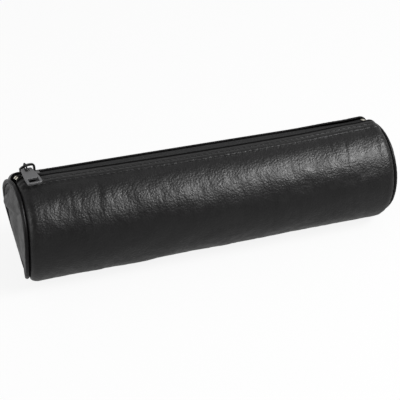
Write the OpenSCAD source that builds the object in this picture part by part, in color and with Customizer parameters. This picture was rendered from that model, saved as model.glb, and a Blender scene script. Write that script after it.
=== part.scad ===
// Round zip case for fountain pens: a leather tube with welted leather ends,
// lined inside, closed by a reverse coil zip that runs along its top, a little
// to the rear of the very top as it lies.
// Millimetres. The case lies along X and rests on the plane z = 0.
// The slider is drawn at the closed end of the zip, on the left.

/* [Case] */
// Length over both end welts
case_l = 220; // [180:1:235]
// Outside diameter of the leather tube
case_d = 60; // [56:1:66]
// Width of the flat that the soft tube sags to where it rests
rest_w = 18; // [12:1:20]
// Thickness of the outer leather
leather_t = 1; // [0.9:0.05:1.1]
// Thickness of the lining cloth
lining_t = 0.4; // [0.3:0.05:0.5]
// Clearance between two layers that lie on each other
layer_gap = 0.05; // [0.04:0.01:0.08]

/* [Ends] */
// Length of the rounded shoulder at each end
shoulder_l = 5; // [4.8:0.1:6]
// How far the shoulder comes in towards the axis
shoulder_drop = 3.4; // [3.2:0.1:3.8]
// Diameter of the leather covered welt round each end
welt_d = 2.4; // [2.2:0.1:2.6]
// Diameter of the cord inside the welt
welt_cord_d = 1.2; // [1:0.1:1.4]
// Thickness of the two plies of welt leather in the seam
welt_flange_t = 0.8; // [0.6:0.1:0.9]
// Depth of the seam allowance, from the middle of the welt
seam_l = 4.6; // [4.2:0.1:5]
// Thickness of the tape that binds the seam inside
binding_t = 0.4; // [0.3:0.05:0.5]
// How far the face of the end disc lies below the top of the welt
disc_inset = 0.7; // [0.5:0.1:0.9]

/* [Zip] */
// How far the zip lies round from the very top towards the rear, in degrees
zip_turn = 13.5; // [0:0.5:15]
// Width of the slot between the two leather edges
slot_w = 13; // [12:0.5:14]
// Width of one zip tape
tape_w = 16; // [15:0.5:17]
// Thickness of the zip tape
tape_t = 0.5; // [0.4:0.05:0.6]
// Gap between the two tapes where the zip is closed
tape_split = 0.3; // [0.2:0.05:0.4]
// Diameter of the coil's filament
filament_d = 0.45; // [0.4:0.05:0.5]
// Distance from one turn of a coil to the next
coil_pitch = 1.2; // [1.15:0.05:1.3]
// Width of one coil, from its heads to its back
coil_w = 2.65; // [2.5:0.05:2.8]
// Height of one coil
coil_h = 1.4; // [1.3:0.05:1.5]
// How far the heads of a coil reach past the middle of the zip
coil_bite = 0.45; // [0.4:0.05:0.5]
// Diameter of the cord inside each coil
coil_cord_d = 0.6; // [0.6:0.05:0.7]
// Length of a stop along the zip
stop_l = 1.6; // [1.4:0.1:1.8]
// Thickness of a stop's metal
stop_t = 0.4; // [0.3:0.05:0.5]

/* [Slider] */
// Length of the slider's wings
slider_l = 10.2; // [9.6:0.1:11]
// Width of the slider at its nose
slider_w = 6.8; // [6.6:0.1:6.8]
// Width of the slider at its tail
slider_tail_w = 6.2; // [6.1:0.1:6.6]
// Thickness of each wing
wing_t = 1.3; // [1:0.1:1.4]
// Clearance between the slider and the zip that runs through it
run_gap = 0.15; // [0.1:0.05:0.2]
// Width of the diamond that parts the two coils
diamond_w = 1.4; // [1.2:0.1:1.6]
// Length of the diamond
diamond_l = 2.8; // [2.4:0.1:3]
// Height of the middle of the bridge above the upper wing
bridge_h = 4.7; // [4.4:0.1:5]
// Radius of the long curve of the bridge
bridge_r = 9; // [8.5:0.5:10]
// Distance from the slider's nose to the top of the bridge
bridge_top_l = 5.5; // [5.3:0.1:5.8]
// Radius of the hook at the bridge's free end
hook_r = 1.3; // [1.1:0.1:1.4]
// Thickness of the bridge
bridge_t = 1.2; // [1:0.1:1.2]
// Width of the bridge
bridge_w = 1.4; // [1.4:0.1:1.6]
// Gap under the hook's end, which the link can't pass
hook_gap = 0.7; // [0.5:0.1:0.7]
// Distance of the bridge's upright from the slider's nose
upright_l = 0.1; // [0:0.1:0.3]

/* [Pull] */
// Inner radius of the link's two round ends
link_r = 1.45; // [1.45:0.05:1.55]
// Distance between the link's two round ends
link_reach = 2.4; // [2:0.1:2.4]
// Thickness of the link's wire
link_t = 0.9; // [0.8:0.05:0.9]
// Thickness of the pull tab
tab_t = 1.2; // [1:0.1:1.3]
// Length of the pull tab
tab_l = 16.5; // [15:0.5:18]
// Width of the pull tab at its eye
tab_eye_w = 6; // [5.8:0.1:7]
// Width of the pull tab near its free end
tab_end_w = 8.2; // [7.4:0.1:9]
// Corner radius at the free end of the pull tab
tab_corner_r = 1.3; // [1:0.1:1.6]
// Width of the metal left round the tab's window
tab_rim = 1.3; // [1.1:0.1:1.6]
// Length of the tab's window
window_l = 3.9; // [3:0.1:4.4]
// How far the link has slid down the bridge from its top
link_back = 2.8; // [2.8:0.1:3.2]
// How far the link's middle hangs below the middle of the bridge
link_drop = 0.25; // [0.15:0.05:0.25]
// How far the link leans down from square to the zip, in degrees
link_droop = 30; // [26:1:30]
// How far the tab leans down, in degrees
tab_droop = 14.5; // [14:0.5:17]
// How far the pull is turned towards the open end, in degrees
pull_yaw = 6; // [0:1:6]

/* [Hidden] */
$fn = 64;

LEATHER = [0.10, 0.10, 0.105];
WELT = [0.07, 0.07, 0.075];
LINING = [0.20, 0.20, 0.22];
TAPE = [0.15, 0.15, 0.16];
COIL = [0.08, 0.08, 0.09];
CORD = [0.75, 0.73, 0.68];
STOP = [0.82, 0.80, 0.72];
SLIDER = [0.12, 0.12, 0.13];
TAB = [0.42, 0.42, 0.43];

// ---- the tube and its layers ----
tube_r = case_d / 2;
// Height of the tube's axis above the floor it has sagged onto
axis_z = sqrt(pow(tube_r, 2) - pow(rest_w / 2, 2));
// Middle of the welt's bead, as distance from the axis and from the middle of the case
bead_r = welt_d / 2;
bead_x = case_l / 2 - bead_r;
wall_x = bead_x - bead_r - 0.2;
shoulder_x = wall_x - shoulder_l;
shoulder_r = tube_r - shoulder_drop;
bead_ring_r = shoulder_r - 0.5;
// Distance of each layer's outer side from the outside of the leather
tape_d = leather_t + layer_gap;
lining_d = tape_d + tape_t + layer_gap;
// A length and a height past everything
past_l = case_l + 20;
past_d = case_d + 20;
shoulder_steps = 16;

// ---- the seams at the two ends ----
bead_gap_r = bead_r + layer_gap;
allowance_start = bead_r + 0.1;
welt_side = welt_flange_t / 2;
leather_side = welt_side + layer_gap;
binding_side = leather_side + leather_t + layer_gap;
binding_out = binding_side + binding_t;
disc_x = case_l / 2 - disc_inset - leather_t;
// The binding's free edges stay under the disc
binding_lap = binding_out + sqrt(2) * (bead_x - disc_x + layer_gap);
disc_r = bead_ring_r - bead_gap_r + 0.05;
seam_mouth_r = shoulder_r - 0.7;
lining_mouth_r = shoulder_r - 0.45;
end_lining_x = disc_x - layer_gap - lining_t;
end_lining_r = bead_ring_r - sqrt(2) * (binding_out + layer_gap) - (bead_x - end_lining_x);

// ---- the zip ----
tape_top = tube_r - tape_d;
tape_under = tape_top - tape_t;
// Drop of the curved tape's underside at the back of the coil
coil_back = coil_w - coil_bite;
coil_top = sqrt(pow(tape_under, 2) - pow(coil_back, 2)) - layer_gap;
coil_mid = coil_top - coil_h / 2;
lining_slot_w = 12;
tape_outer_angle = tape_w / tape_top * 180 / PI;
tape_inner_angle = asin(tape_split / 2 / tape_top);

// ---- the slider, at the closed end ----
slider_nose_x = -(shoulder_x + 2);
slider_x = slider_nose_x + slider_l / 2;
wing_over = tape_top + run_gap;
wing_top = wing_over + wing_t;
wing_under = coil_top - coil_h - run_gap;
channel_w = 2 * (coil_back + run_gap + 0.1);
nose_round = 1.6;
tail_round = 1;
diamond_back_x = slider_nose_x + 0.5 + diamond_l;
coil_start_x = diamond_back_x + run_gap;
coil_end_x = shoulder_x - 0.5;
// Distance between the tapes where they stand apart round the diamond
tape_spread = diamond_w + 2 * run_gap + 0.2;
coil_turns = floor((coil_end_x - coil_start_x - coil_pitch) / coil_pitch);

// ---- the pull ----
pull_x = slider_nose_x + bridge_top_l - link_back;
pull_r = wing_top + bridge_h - bridge_r + sqrt(pow(bridge_r, 2) - pow(link_back, 2)) - link_drop;
link_outer_r = link_r + link_t;
eye_bar = tab_t;
eye_w = link_t + 1.3;
eye_l = link_outer_r - eye_bar / 2 + 0.5;

// Points on an arc from angle a0 to a1 about c
function arc(c, r, a0, a1, steps = 12) =
  [for (i = [0:steps]) let (a = a0 + (a1 - a0) * i / steps) c + r * [cos(a), sin(a)]];

function turned_back(points) = [for (i = [len(points) - 1:-1:0]) points[i]];

function mirrored(points) = [for (p = turned_back(points)) [p.x, -p.y]];

// Point of the shoulder at depth d below the outside and angle a, as
// [distance from axis, x]
function shoulder_point(d, a) =
  [shoulder_r + (shoulder_drop - d) * cos(a), shoulder_x + (shoulder_l - d) * sin(a)];

function shoulder(d, from = 0, to = 90) =
  [for (i = [0:shoulder_steps]) shoulder_point(d, from + (to - from) * i / shoulder_steps)];

// Lays what is revolved about Z along X
module along_x() {
  rotate([0, 90, 0]) children();
}

// The same at the height of the case's axis
module along_case() {
  translate([0, 0, axis_z]) along_x() children();
}

module at_end(side) {
  if (side < 0) mirror([1, 0, 0]) children(); else children();
}

// The front, at -Y, mirrors the rear
module on_side(side) {
  if (side < 0) mirror([0, 1, 0]) children(); else children();
}

module above_floor(height) {
  intersection() {
    children();
    translate([-past_l / 2, -past_d / 2, height]) cube([past_l, past_d, past_d]);
  }
}

// Everything inside the tube at depth d below its outside
module tube_core(d) {
  above_floor(d) along_case()
    rotate_extrude(convexity = 4) polygon(concat(
      [[0, -(shoulder_x + shoulder_l - d)]], mirrored(shoulder(d)),
      shoulder(d), [[0, shoulder_x + shoulder_l - d]]
    ));
}

module tube_layer(d, thickness, mouth_r) {
  difference() {
    tube_core(d);
    tube_core(d + thickness);
    along_case() cylinder(h = past_l, r = mouth_r, center = true);
  }
}

// Turns the zip, and all that is on it, from the very top towards the rear
module on_zip() {
  translate([0, 0, axis_z]) rotate([-zip_turn, 0, 0]) children();
}

// Straight slot in the leather, where the zip is
module zip_slot(width) {
  on_zip() translate([-past_l / 2, -width / 2, 0]) cube([past_l, width, past_d]);
}

// The seam's own frame: the origin on the bead, +X out from the seam's middle
// ply, -Y along the allowance into the case
module in_seam() {
  translate([bead_ring_r, bead_x]) rotate(-45) children();
}

// One ply of the seam allowance, from side to side + thickness
module ply(side, thickness, start = allowance_start, end = seam_l) {
  difference() {
    in_seam() translate([side, -end]) square([thickness, end - start]);
    translate([bead_ring_r, bead_x]) circle(r = bead_gap_r);
  }
}

module body_panel() {
  color(LEATHER) difference() {
    union() {
      tube_layer(0, leather_t, seam_mouth_r);
      for (side = [-1, 1]) at_end(side) along_case()
        rotate_extrude(convexity = 4) ply(leather_side, leather_t);
    }
    zip_slot(slot_w);
  }
}

module body_lining() {
  color(LINING) difference() {
    tube_layer(lining_d, lining_t, lining_mouth_r);
    zip_slot(lining_slot_w);
  }
}

module end_disc(side) {
  color(LEATHER) at_end(side) along_case() union() {
    translate([0, 0, disc_x]) cylinder(h = leather_t, r = disc_r);
    rotate_extrude(convexity = 4) ply(-leather_side - leather_t, leather_t);
  }
}

module end_lining(side) {
  color(LINING) at_end(side) along_case()
    translate([0, 0, end_lining_x]) cylinder(h = lining_t, r = end_lining_r);
}

module welt(side) {
  color(WELT) at_end(side) along_case() rotate_extrude(convexity = 4) difference() {
    union() {
      translate([bead_ring_r, bead_x]) circle(d = welt_d);
      in_seam() translate([-welt_side, -seam_l]) square([welt_flange_t, seam_l]);
    }
    translate([bead_ring_r, bead_x]) circle(d = welt_cord_d + 2 * layer_gap);
  }
}

module welt_cord(side) {
  color(CORD) at_end(side) along_case()
    rotate_extrude(convexity = 4) translate([bead_ring_r, bead_x]) circle(d = welt_cord_d);
}

// A tape folded in a U round the edges of the seam's five plies
module seam_binding(side) {
  color(TAPE) at_end(side) along_case() rotate_extrude(convexity = 4) in_seam() {
    end = seam_l + layer_gap + binding_t;
    for (edge = [-binding_out, binding_side])
      translate([edge, -end]) square([binding_t, end - binding_lap]);
    translate([-binding_out, -end]) square([2 * binding_out, binding_t]);
  }
}

// One zip tape, lying under the leather edge and turned down into both end seams
module zip_tape(side) {
  outer = shoulder(tape_d);
  inner = shoulder(tape_d + tape_t);
  outline = concat(mirrored(outer), outer, turned_back(inner), turned_back(mirrored(inner)));
  color(TAPE) on_zip() difference() {
    along_x() rotate([0, 0, 180 + (side < 0 ? tape_inner_angle : -tape_outer_angle)])
      rotate_extrude(angle = tape_outer_angle - tape_inner_angle, convexity = 4) polygon(outline);
    // The tapes stand apart round the slider's diamond
    translate([-past_l / 2, -tape_spread / 2, 0])
      cube([past_l / 2 + coil_start_x, tape_spread, past_d]);
  }
}

module coil_turn() {
  reach = coil_w / 2 - coil_h / 2;
  rotate([90, 0, 90]) linear_extrude(height = filament_d, center = true) difference() {
    union() {
      for (end = [-reach, reach]) translate([end, 0]) circle(d = coil_h, $fn = 32);
      square([2 * reach, coil_h], center = true);
    }
    for (end = [-reach, reach]) translate([end, 0]) circle(d = coil_h - 2 * filament_d, $fn = 32);
    square([2 * reach, coil_h - 2 * filament_d], center = true);
  }
}

// A coil's turns hook between the other's, half a pitch along
module zip_coil(side) {
  middle = side * (coil_back - coil_w / 2);
  first = coil_start_x + coil_pitch / 2 + (side > 0 ? coil_pitch / 2 : 0);
  cord_l = coil_pitch * (coil_turns - 1) + filament_d;
  color(COIL) on_zip() translate([0, middle, coil_mid]) {
    for (i = [0:coil_turns - 1]) translate([first + i * coil_pitch, 0, 0]) coil_turn();
    translate([first - filament_d / 2, side * (coil_w - coil_h) / 2, 0])
      rotate([0, 90, 0]) cylinder(h = cord_l, d = coil_cord_d, $fn = 32);
  }
}

// Part of the right-hand shoulder's top, from depth d0 to depth d1
module shoulder_strip(d0, d1, from, to) {
  along_x() rotate([0, 0, 170]) rotate_extrude(angle = 20)
    polygon(concat(shoulder(d0, from, to), turned_back(shoulder(d1, from, to))));
}

// A bent clip closed over the edge of one tape, beyond the slider's nose. It
// follows the tape, which turns down over the shoulder there
module top_stop(side) {
  clip_w = 1.6;
  middle = 51;
  turn = stop_l / norm([(shoulder_drop - tape_d) * sin(middle), (shoulder_l - tape_d) * cos(middle)]);
  half = turn * 90 / PI;
  above = tape_d - layer_gap;
  below = tape_d + tape_t + layer_gap;
  bend = tape_spread / 2 - layer_gap - stop_t;
  color(STOP) on_zip() at_end(-1) on_side(side) difference() {
    intersection() {
      shoulder_strip(above - stop_t, below + stop_t, middle - half, middle + half);
      translate([0, bend, 0]) cube([past_l, clip_w, past_d]);
    }
    intersection() {
      shoulder_strip(above, below, middle - 2 * half, 90);
      translate([0, bend + stop_t, 0]) cube([past_l, clip_w, past_d]);
    }
  }
}

// A clip over both tapes at the open end, joined through the split between them
module bottom_stop() {
  clip_w = 2 * (coil_back + 0.2);
  slot_top = tape_top + layer_gap;
  slot_under = coil_top;
  under = slot_under - coil_h - stop_t;
  web_w = tape_split - 2 * layer_gap;
  color(STOP) on_zip() translate([coil_end_x, 0, 0]) difference() {
    translate([0, -clip_w / 2, under]) cube([stop_l, clip_w, slot_top + stop_t - under]);
    for (side = [-1, 1]) on_side(side) translate([-stop_l, web_w / 2, slot_under])
      cube([3 * stop_l, clip_w, slot_top - slot_under]);
  }
}

// Outline of both wings, nose towards -X
module wing_outline() {
  polygon(concat(
    arc([-slider_l / 2 + nose_round, slider_w / 2 - nose_round], nose_round, 180, 90, 6),
    arc([slider_l / 2 - tail_round, slider_tail_w / 2 - tail_round], tail_round, 90, 0, 6),
    arc([slider_l / 2 - tail_round, -slider_tail_w / 2 + tail_round], tail_round, 0, -90, 6),
    arc([-slider_l / 2 + nose_round, -slider_w / 2 + nose_round], nose_round, -90, -180, 6)
  ));
}

// Strip of the bridge's thickness up its post, along its long curve and down its
// hook, with the middle of the slider at x = 0 and the top of the wing at y = 0
module bridge_outline() {
  half = bridge_t / 2;
  post = upright_l - slider_l / 2;
  centre = [bridge_top_l - slider_l / 2, bridge_h - bridge_r];
  // Where the curve's two sides meet the post, and where it runs into the hook
  outer_a = acos((post - half - centre.x) / (bridge_r + half));
  inner_a = acos((post + half - centre.x) / (bridge_r - half));
  hook_a = 84;
  hook = centre + (bridge_r - hook_r) * [cos(hook_a), sin(hook_a)];
  polygon(concat(
    [[post - half, -half]], arc(centre, bridge_r + half, outer_a, hook_a, 16),
    arc(hook, hook_r + half, hook_a, 0, 8),
    [[hook.x + hook_r + half, hook_gap], [hook.x + hook_r - half, hook_gap]],
    arc(hook, hook_r - half, 0, hook_a, 8), arc(centre, bridge_r - half, hook_a, inner_a, 16),
    [[post + half, -half]]
  ));
}

module slider_body() {
  wall_h = tape_under - run_gap - 0.2 - wing_under;
  color(SLIDER) on_zip() translate([slider_x, 0, 0]) {
    translate([0, 0, wing_over]) linear_extrude(height = wing_t) wing_outline();
    translate([0, 0, wing_under - wing_t]) linear_extrude(height = wing_t) wing_outline();
    // Walls that hold the coils together, open towards the nose
    translate([0, 0, wing_under - 0.1]) linear_extrude(height = wall_h + 0.1) intersection() {
      wing_outline();
      for (side = [-1, 1]) translate([-slider_l / 2 + 2.6, side > 0 ? channel_w / 2 : -slider_w])
        square([slider_l, slider_w - channel_w / 2]);
    }
    translate([-slider_l / 2 + 0.5, 0, wing_under - 0.1])
      linear_extrude(height = wing_over - wing_under + 0.2) polygon([
        [0, -diamond_w / 2], [diamond_l * 0.4, -diamond_w / 2], [diamond_l, -0.25],
        [diamond_l, 0.25], [diamond_l * 0.4, diamond_w / 2], [0, diamond_w / 2]
      ]);
    translate([0, bridge_w / 2, wing_top]) rotate([90, 0, 0])
      linear_extrude(height = bridge_w) bridge_outline();
  }
}

// The pull's own frame: the origin at the middle of the link's round end on the
// bridge, -Y along the pull, which the link and the tab lean down from
module in_pull() {
  on_zip() translate([pull_x, 0, pull_r]) rotate([0, 0, pull_yaw]) children();
}

// Lays what is drawn along +X along the pull, leaning down from there
module leaning(droop) {
  rotate([droop, 0, 0]) rotate([0, 0, -90]) children();
}

// Upright loop round the bridge and through the eye of the tab
module pull_link() {
  color(SLIDER) in_pull() leaning(link_droop) rotate([90, 0, 0])
    linear_extrude(height = link_t, center = true) difference() {
      union() {
        for (end = [0, link_reach]) translate([end, 0]) circle(r = link_outer_r);
        translate([0, -link_outer_r]) square([link_reach, 2 * link_outer_r]);
      }
      for (end = [0, link_reach]) translate([end, 0]) circle(r = link_r);
      translate([0, -link_r]) square([link_reach, 2 * link_r]);
    }
}

module tab_outline() {
  flare_l = tab_l - window_l - 2 * tab_rim;
  top = -eye_bar / 2;
  end = top + tab_l;
  polygon(concat(
    [[top, -tab_eye_w / 2 + 0.5], [top + 0.5, -tab_eye_w / 2], [top + flare_l, -tab_end_w / 2]],
    arc([end - tab_corner_r, -tab_end_w / 2 + tab_corner_r], tab_corner_r, -90, 0, 6),
    arc([end - tab_corner_r, tab_end_w / 2 - tab_corner_r], tab_corner_r, 0, 90, 6),
    [[top + flare_l, tab_end_w / 2], [top + 0.5, tab_eye_w / 2], [top, tab_eye_w / 2 - 0.5]]
  ));
}

module pull_tab() {
  window_w = tab_end_w - 2 * tab_rim;
  window_x = tab_l - eye_bar / 2 - tab_rim - window_l;
  eye = link_reach * [0, -cos(link_droop), -sin(link_droop)];
  color(TAB) in_pull() translate(eye) leaning(tab_droop)
    translate([0, 0, -tab_t / 2]) linear_extrude(height = tab_t) difference() {
      tab_outline();
      translate([eye_bar / 2, -eye_w / 2]) square([eye_l, eye_w]);
      translate([window_x, -window_w / 2]) square([window_l, window_w]);
    }
}

body_panel();
body_lining();
end_disc(-1);  // left_end_disc
end_disc(1);  // right_end_disc
end_lining(-1);  // left_end_lining
end_lining(1);  // right_end_lining
welt(-1);  // left_welt
welt(1);  // right_welt
welt_cord(-1);  // left_welt_cord
welt_cord(1);  // right_welt_cord
seam_binding(-1);  // left_seam_binding
seam_binding(1);  // right_seam_binding
zip_tape(-1);  // front_zip_tape
zip_tape(1);  // rear_zip_tape
zip_coil(-1);  // front_zip_coil
zip_coil(1);  // rear_zip_coil
top_stop(-1);  // front_top_stop
top_stop(1);  // rear_top_stop
bottom_stop();
slider_body();
pull_link();
pull_tab();
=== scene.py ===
"""Round leather zip case: the soft leather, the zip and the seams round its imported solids.

Shapes are worked out in millimetres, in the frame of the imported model, and put into meshes
in metres. The case lies along X and rests on z = 0, with its zip along the top, turned a
little to the rear.
"""
import math
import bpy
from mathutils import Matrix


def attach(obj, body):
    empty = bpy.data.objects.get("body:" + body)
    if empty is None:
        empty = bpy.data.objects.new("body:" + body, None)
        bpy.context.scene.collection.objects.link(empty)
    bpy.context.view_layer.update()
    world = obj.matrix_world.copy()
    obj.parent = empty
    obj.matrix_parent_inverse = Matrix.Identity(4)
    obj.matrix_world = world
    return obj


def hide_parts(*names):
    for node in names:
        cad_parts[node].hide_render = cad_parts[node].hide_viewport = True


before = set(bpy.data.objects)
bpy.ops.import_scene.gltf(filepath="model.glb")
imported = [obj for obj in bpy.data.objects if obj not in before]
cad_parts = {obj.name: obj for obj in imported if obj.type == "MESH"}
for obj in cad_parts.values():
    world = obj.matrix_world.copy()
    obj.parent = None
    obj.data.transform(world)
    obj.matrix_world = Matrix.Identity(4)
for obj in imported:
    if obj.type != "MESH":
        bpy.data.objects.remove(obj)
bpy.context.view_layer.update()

from types import SimpleNamespace

import bmesh
import bpy
import numpy as np
from bpy.props import FloatProperty, FloatVectorProperty, IntProperty, PointerProperty
from mathutils import Matrix, Vector

bl_info = {
    "name": "Leather Zip Case",
    "version": (1, 0, 0),
    "blender": (4, 5, 0),
    "location": "View3D > Sidebar > Zip Case",
    "description": "Dresses a round zip case in soft leather, woven tape and sewn seams",
    "category": "Add Mesh",
}

MM = 0.001

ENDS = ((-1, "left"), (1, "right"))
SIDES = ((-1, "front"), (1, "rear"))

# Fixed lengths, in millimetres
WELT_GAP = 0.2  # from the end of the shoulder to the welt
WELT_DROP = 0.5  # from the end of the shoulder down to the welt's middle
WELT_PLIES = 0.8  # thickness of the welt's two plies in the seam
DISC_INSET = 0.7  # how far an end's face lies below the top of its welt
BINDING = 0.4  # thickness of the tape that binds the seam
LINING_SLOT = 12  # width between the two edges of the lining

GATHER_COUNT = 46
# Creases of the leather: start and end as (along, round), depth and width
CREASES = (
    ((82, 18), (77, 37), 1.1, 0.9), ((100, 21), (99, 36), 0.6, 1.2),
    ((91, 20), (88, 40), 0.4, 1.4), ((72, 15), (70, 24), 0.5, 1.0),
    ((-88, 24), (-93, 38), 0.5, 0.8), ((-82, 19), (-84, 33), 0.6, 0.6),
    ((-75, 20), (-80, 36), 0.4, 0.9), ((-66, 15), (-72, 41), 1.0, 1.8),
    ((-56, 17), (-60, 27), 0.4, 0.8), ((-44, 18), (-57, 33), 0.4, 0.8),
    ((-33, 19), (-46, 34), 0.4, 0.8), ((-24, 22), (-33, 35), 0.3, 0.8))


# ---- sizes and colours ----

def length(description, millimetres):
    return FloatProperty(description=description, default=millimetres * MM, unit="LENGTH")


def tint(description, default):
    return FloatVectorProperty(
        description=description, default=default, size=3, subtype="COLOR", min=0, max=1)


class ZipCaseSizes(bpy.types.PropertyGroup):
    case_length: length("Length over both end welts", 220)
    case_width: length("Outside diameter of the leather tube", 60)
    rest_width: length("Width of the flat that the tube sags to", 18)
    leather: length("Thickness of the outer leather", 1)
    lining: length("Thickness of the lining cloth", 0.4)
    layer_gap: length("Clearance between two layers", 0.05)
    shoulder: length("Length of the rounded shoulder at each end", 5)
    shoulder_drop: length("How far the shoulder comes in", 3.4)
    welt: length("Diameter of the welt round each end", 2.4)
    welt_cord: length("Diameter of the cord inside the welt", 1.2)
    seam: length("Depth of the seam, from the middle of the welt", 4.6)
    zip_turn: FloatProperty(
        description="How far the zip lies round from the top to the rear",
        default=math.radians(13.5), unit="ROTATION")
    slot: length("Width between the two leather edges", 13)
    tape: length("Width of one zip tape", 16)
    tape_thick: length("Thickness of the zip tape", 0.5)
    tape_split: length("Gap between the closed tapes", 0.3)
    near_row: length("First row of stitches from the middle of the zip", 11.4)
    far_row: length("Second row of stitches from the middle of the zip", 14.7)
    stitch_pitch: length("Distance from one stitch to the next", 3.45)
    thread: length("Thickness of the sewing thread", 0.45)


class ZipCaseSoftness(bpy.types.PropertyGroup):
    sway: length("How far the leather rises and falls over its length", 0.42)
    gathers: length("Height of the gathers at the two shoulders", 0.16)
    hem: length("Extra thickness of the turned-in edge beside the zip", 0.5)
    closing: length("How much each side of the slot closes in at its ends", 1.8)
    creases: length("Depth of the creases", 0.2)
    lean_top: length("How far the left end stands out at the top", 0.6)
    lean_bottom: length("How far it is drawn in at the bottom", 1.8)
    saddle: length("How far the left end is warped like a saddle", 2.8)
    lean_rear: length("How far it stands out at the rear", 1.8)
    lean_front: length("How far it stands out at the front", 1.6)
    sink: length("How far it sinks to the floor at the bottom", 0.5)
    push_right: length("How far the right end stands out", 0.7)
    lift_top: length("How far both ends stand up at the top", 0.8)
    lift_zip: length("How far the leather lifts beside the zip's end", 0.7)
    press: length("How deep the leather is pressed under the tab", 0.8)
    fold: length("Height of the fold across the left end", 1.4)
    seed: IntProperty(description="Start of the seeded waves", default=7)


class ZipCaseColours(bpy.types.PropertyGroup):
    leather: tint("Dyed leather", (0.0088, 0.0086, 0.0088))
    welt: tint("Leather of the welts", (0.008, 0.0078, 0.008))
    lining: tint("Lining cloth", (0.03, 0.03, 0.034))
    tape: tint("Woven zip tape", (0.02, 0.02, 0.0205))
    # The thread's colour where its painted glint lies, towards the right end; elsewhere it is
    # drawn at 0.3 of this.
    thread: tint("Sewing thread", (0.07, 0.07, 0.072))
    coil: tint("Nylon coil", (0.02, 0.02, 0.021))
    cord: tint("Cords inside the welts", (0.52, 0.5, 0.44))
    slider: tint("Black lacquer of the slider", (0.009, 0.009, 0.0092))
    tab: tint("Grey metal of the pull tab", (0.25, 0.25, 0.255))
    stop: tint("Pale metal of the stops", (0.78, 0.75, 0.64))


def sizes():
    """All lengths in millimetres, with the ones that follow from them."""
    scene = bpy.context.scene
    s = SimpleNamespace()
    for group in (scene.zip_case_sizes, scene.zip_case_softness):
        for key in group.__annotations__:
            value = getattr(group, key)
            setattr(s, key, value if key in ("seed", "zip_turn") else value / MM)
    s.radius = s.case_width / 2
    s.axis = math.sqrt(s.radius ** 2 - (s.rest_width / 2) ** 2)
    s.bead = s.welt / 2
    s.bead_x = s.case_length / 2 - s.bead
    s.shoulder_x = s.bead_x - s.bead - WELT_GAP - s.shoulder
    s.shoulder_r = s.radius - s.shoulder_drop
    s.bead_r = s.shoulder_r - WELT_DROP
    s.girth = 2 * math.pi * s.radius
    s.slot_arc = s.radius * math.asin(s.slot / 2 / s.radius)
    s.tape_depth = s.leather + s.layer_gap
    s.lining_depth = s.tape_depth + s.tape_thick + s.layer_gap
    s.leather_side = WELT_PLIES / 2 + s.layer_gap
    s.slider_nose = -(s.shoulder_x + 2)
    return s


def configure(thing, **settings):
    for key, value in settings.items():
        setattr(thing, key, value)


# ---- meshes from grids ----

def spaced(*stretches):
    """Positions along a line: each stretch (to, step) is cut into equal steps."""
    cuts, start = [np.array([0.0])], 0.0
    for end, step in stretches:
        count = max(1, round((end - start) / step))
        cuts.append(np.linspace(start, end, count + 1)[1:])
        start = end
    return np.concatenate(cuts)


def with_rolls(positions, roll):
    """The positions with closer ones in front of both ends, for a rolled edge."""
    total = positions[-1]
    near = roll * np.array([0, 0.08, 0.3, 0.65, 1.1])
    inner = positions[(positions > roll * 1.5) & (positions < total - roll * 1.5)]
    return np.concatenate([near, inner, total - near[::-1]])


def full_turn(count):
    """Equally spaced angles once round, as a row."""
    return np.linspace(0, 2 * math.pi, count, endpoint=False)[None, :]


def rolled(thickness, *distances):
    """Half the thickness, rounded off as a quarter circle towards the free edges."""
    short = np.clip(1 - np.minimum.reduce(np.broadcast_arrays(*distances)) / (thickness / 2), 0, 1)
    return thickness / 2 * np.sqrt(1 - short ** 2)


def rolled_round(thickness, stations, around):
    """Half the thickness of a sheet that is rounded off at all four edges."""
    down = stations[:, None]
    return rolled(thickness, down, stations[-1] - down, around, around[-1] - around)


def own_map(stations, around):
    """A sheet's own map, in metres: the distances along it and round it."""
    return np.stack(np.broadcast_arrays(stations[:, None] * MM, around * MM), axis=-1)


def grid_normals(grid, ring):
    """Unit cross product of the differences along the two parameters."""
    along = np.gradient(grid, axis=0)
    if ring:
        padded = np.concatenate([grid[:, -1:], grid, grid[:, :1]], axis=1)
        across = np.gradient(padded, axis=1)[:, 1:-1]
    else:
        across = np.gradient(grid, axis=1)
    normal = np.cross(along, across)
    size = np.linalg.norm(normal, axis=-1, keepdims=True)
    return normal / np.maximum(size, 1e-9)


def grid_quads(index, ring):
    """Quads between neighbouring rows and columns of a grid of point numbers."""
    if ring:
        index = np.concatenate([index, index[:, :1]], axis=1)
    return np.stack(
        [index[:-1, :-1], index[1:, :-1], index[1:, 1:], index[:-1, 1:]], axis=-1).reshape(-1, 4)


def new_object(name, data):
    obj = bpy.data.objects.new(name, data)
    bpy.context.scene.collection.objects.link(obj)
    return obj


def vertex_points(mesh):
    points = np.empty(len(mesh.vertices) * 3, np.float32)
    mesh.vertices.foreach_get("co", points)
    return points.reshape(-1, 3)


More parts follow.
